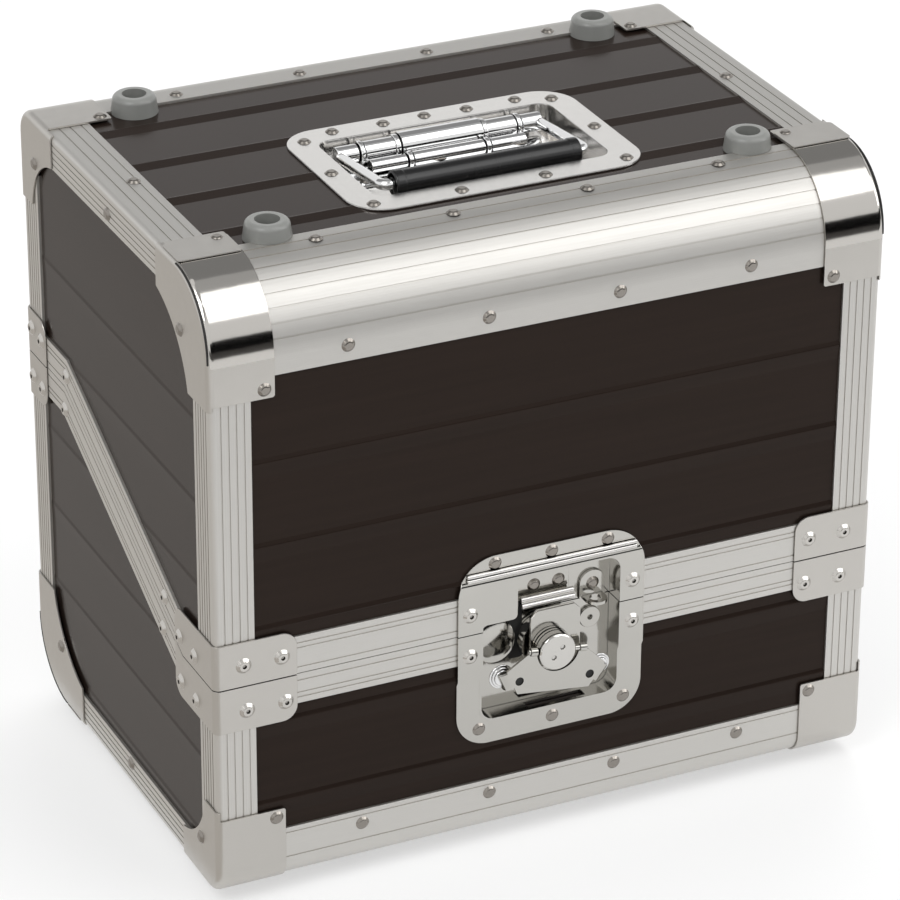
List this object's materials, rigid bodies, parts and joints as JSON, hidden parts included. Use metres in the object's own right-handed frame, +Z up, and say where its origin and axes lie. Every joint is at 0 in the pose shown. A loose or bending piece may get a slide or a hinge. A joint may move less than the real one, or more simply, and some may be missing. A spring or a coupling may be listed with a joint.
{
  "type": "record case",
  "caption": "Upright hinged record case with a stepped sloping parting, recessed twist latch, recessed sprung handle, metal edge profiles, corner caps and rubber feet.",
  "frame": {"origin": "middle of the closed case on the surface that it stands on, centred over its latch and hinges in depth", "axes": "+Z up, -Y towards the latch at the front, +X to the right seen from the front"},
  "size_m": [0.4118, 0.296, 0.3888],
  "materials": {
    "laminate_ply": "plywood with a glossy dark brown laminate, pressed with shallow ribs",
    "anodised_aluminium": "satin anodised with fine drawn grooves",
    "zinc_plated_steel": "satin plated sheet steel, polished on the round corners",
    "grey_rubber": "semi-matt moulded rubber",
    "plated_screws": "plated",
    "foam": "closed-cell foam",
    "black_grip": "black plastic, slightly shiny",
    "spring_steel": "oiled",
    "nickel_rivets": "nickel plated",
    "bright_chrome": "mirror chrome"
  },
  "bodies": {
    "base": {"base_blind_rivets": "nickel_rivets", "base_closure_front": "anodised_aluminium", "base_closure_left": "anodised_aluminium", "base_closure_rear": "anodised_aluminium", "base_closure_right": "anodised_aluminium", "base_corners_front": "zinc_plated_steel", "base_corners_rear": "zinc_plated_steel", "base_feet": "grey_rubber", "base_foam": "foam", "base_foot_screws": "plated_screws", "base_panel_bottom": "laminate_ply", "base_panel_front": "laminate_ply", "base_panel_left": "laminate_ply", "base_panel_rear": "laminate_ply", "base_panel_right": "laminate_ply", "base_plates": "zinc_plated_steel", "base_profile_bottom_front": "anodised_aluminium", "base_profile_round_rear": "anodised_aluminium", "base_profiles_bottom_side": "anodised_aluminium", "base_profiles_front_edge": "anodised_aluminium", "base_profiles_rear_edge": "anodised_aluminium", "base_split_rivets": "nickel_rivets", "latch_dish_lower": "bright_chrome", "latch_washers": "bright_chrome", "hinge_leaves_base": "zinc_plated_steel", "hinge_pins": "zinc_plated_steel"},
    "lid": {"lid_blind_rivets": "nickel_rivets", "lid_closure_front": "anodised_aluminium", "lid_closure_left": "anodised_aluminium", "lid_closure_rear": "anodised_aluminium", "lid_closure_right": "anodised_aluminium", "lid_corners_front": "zinc_plated_steel", "lid_corners_rear": "zinc_plated_steel", "lid_foam": "foam", "lid_panel_front": "laminate_ply", "lid_panel_left": "laminate_ply", "lid_panel_rear": "laminate_ply", "lid_panel_right": "laminate_ply", "lid_panel_top": "laminate_ply", "lid_plates": "zinc_plated_steel", "lid_profile_round_front": "anodised_aluminium", "lid_profile_top_rear": "anodised_aluminium", "lid_profiles_front_edge": "anodised_aluminium", "lid_profiles_rear_edge": "anodised_aluminium", "lid_profiles_top_side": "anodised_aluminium", "lid_split_rivets": "nickel_rivets", "top_feet": "grey_rubber", "top_foot_screws": "plated_screws", "handle_dish": "bright_chrome", "handle_saddle": "bright_chrome", "handle_spring": "spring_steel", "latch_dish_upper": "bright_chrome", "latch_keeper": "bright_chrome", "padlock_staple": "bright_chrome", "hinge_leaves_lid": "zinc_plated_steel"},
    "handle": {"handle_bail": "bright_chrome", "handle_grip": "black_grip"},
    "cam": {"latch_cam": "bright_chrome"},
    "hook": {"latch_hook": "bright_chrome"},
    "wings": {"latch_butterfly": "bright_chrome"}
  },
  "joints": [
    {"name": "lid_hinge", "type": "hinge", "parent": "base", "child": "lid", "pos_m": [0, 0.14445, 0.2269], "axis": [-1, 0, 0], "range_deg": [0, 100]},
    {"name": "handle_pivot", "type": "hinge", "parent": "lid", "child": "handle", "pos_m": [0, 0.01345, 0.3724], "axis": [-1, 0, 0], "range_deg": [0, 90], "stiffness_Nm_per_rad": 0.08, "springref_deg": -28.65},
    {"name": "latch_turn", "type": "hinge", "parent": "base", "child": "cam", "pos_m": [0, -0.13755, 0.1229], "axis": [0, 1, 0], "range_deg": [0, 180]},
    {"name": "latch_wings", "type": "hinge", "parent": "cam", "child": "wings", "pos_m": [0, -0.1443, 0.1229], "axis": [-0.9925, 0, 0.1219], "range_deg": [0, 90]},
    {"name": "latch_hook_slide", "type": "slide", "parent": "base", "child": "hook", "axis": [0, 0, 1], "range_m": [0, 0.008]}
  ],
  "couplings": [
    {"joint": "latch_hook_slide", "follows": "latch_turn", "m_per_rad": 0.0025464}
  ]
}
